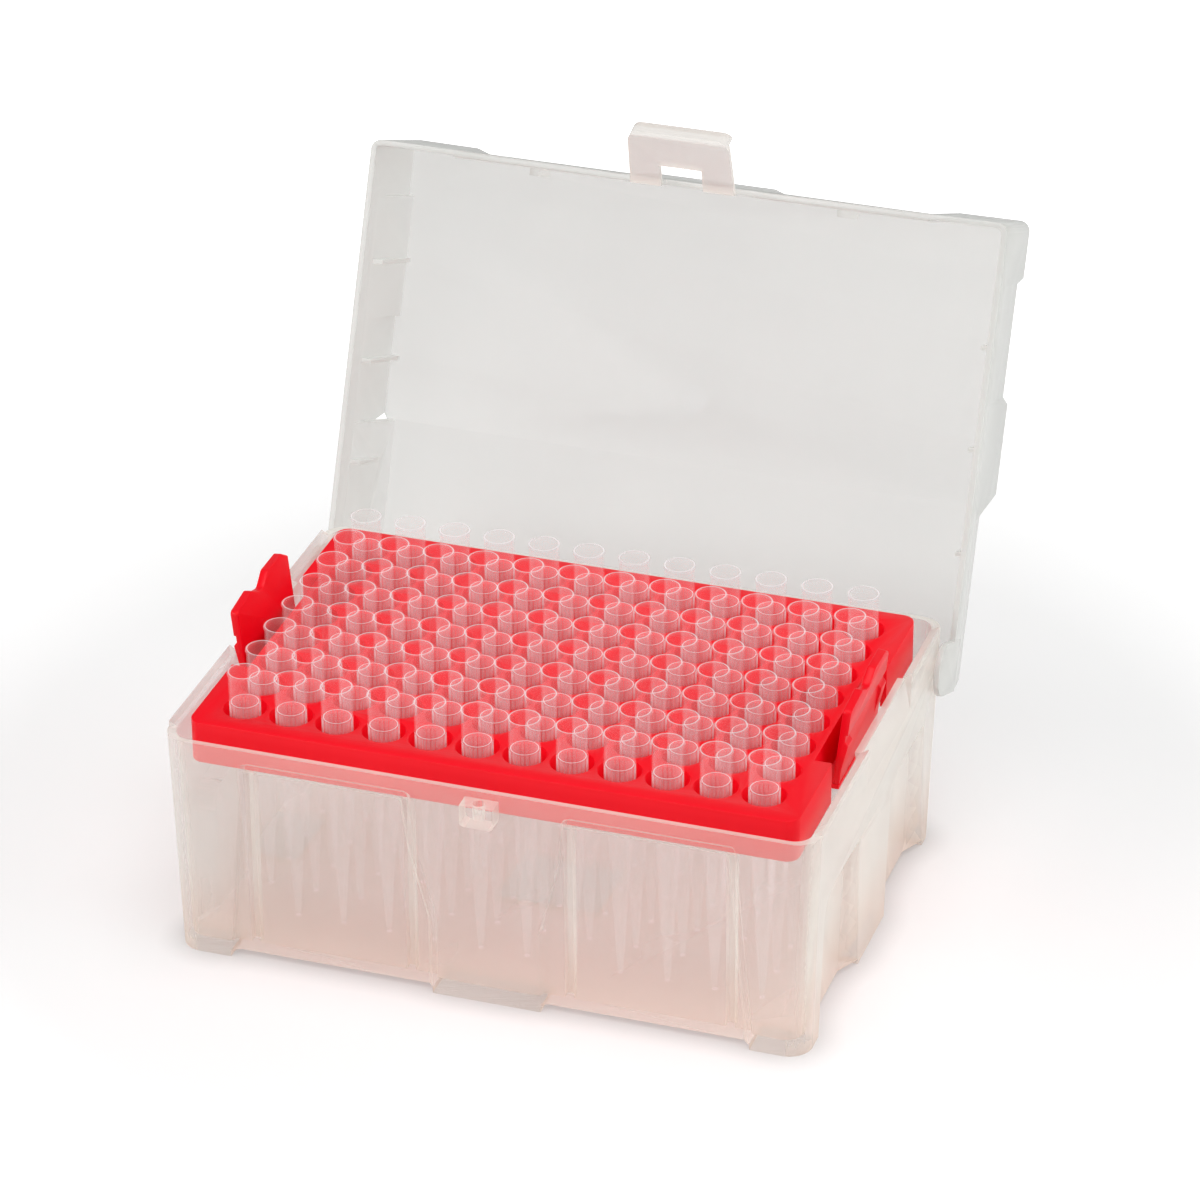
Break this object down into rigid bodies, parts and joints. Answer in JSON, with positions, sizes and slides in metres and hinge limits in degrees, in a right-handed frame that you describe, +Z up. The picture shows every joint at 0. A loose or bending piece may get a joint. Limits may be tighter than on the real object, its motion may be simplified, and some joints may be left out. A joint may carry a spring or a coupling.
{
  "type": "pipette tip box",
  "caption": "Box of clear pipette tips standing in a red tray, in a translucent base whose hinged lid is open.",
  "frame": {"origin": "on the bench, under the middle of the bounding box of the whole part with its lid open", "axes": "+X to the right along the long side, +Y from the latch side to the hinge side, +Z up"},
  "size_m": [0.1272, 0.142, 0.1249],
  "materials": {
    "natural_polypropylene": "translucent, milky, fine satin from the mould",
    "red_polypropylene": "solid red, soft gloss",
    "clear_polypropylene": "clear and colourless, polished"
  },
  "bodies": {
    "base": {"base": "natural_polypropylene", "tray": "red_polypropylene", "tips_column_01": "clear_polypropylene", "tips_column_02": "clear_polypropylene", "tips_column_03": "clear_polypropylene", "tips_column_04": "clear_polypropylene", "tips_column_05": "clear_polypropylene", "tips_column_06": "clear_polypropylene", "tips_column_07": "clear_polypropylene", "tips_column_08": "clear_polypropylene", "tips_column_09": "clear_polypropylene", "tips_column_10": "clear_polypropylene", "tips_column_11": "clear_polypropylene", "tips_column_12": "clear_polypropylene"},
    "lid": {"lid": "natural_polypropylene"},
    "latch": {"lid_latch": "natural_polypropylene"},
    "lever_left": {"tray_lever_left": "red_polypropylene"},
    "lever_right": {"tray_lever_right": "red_polypropylene"}
  },
  "joints": [
    {"name": "lid_hinge", "type": "hinge", "parent": "base", "child": "lid", "pos_m": [0, 0.0139, 0.0371], "axis": [1, 0, 0], "range_deg": [0, 112]},
    {"name": "latch_hinge", "type": "hinge", "parent": "lid", "child": "latch", "pos_m": [0, 0.04957, 0.11257], "axis": [1, 0, 0], "range_deg": [0, 52]},
    {"name": "lever_left_hinge", "type": "hinge", "parent": "base", "child": "lever_left", "pos_m": [-0.0572, -0.0255, 0.04055], "axis": [0, 1, 0], "range_deg": [0, 8]},
    {"name": "lever_right_hinge", "type": "hinge", "parent": "base", "child": "lever_right", "pos_m": [0.0572, -0.0255, 0.04055], "axis": [0, -1, 0], "range_deg": [0, 8]}
  ]
}
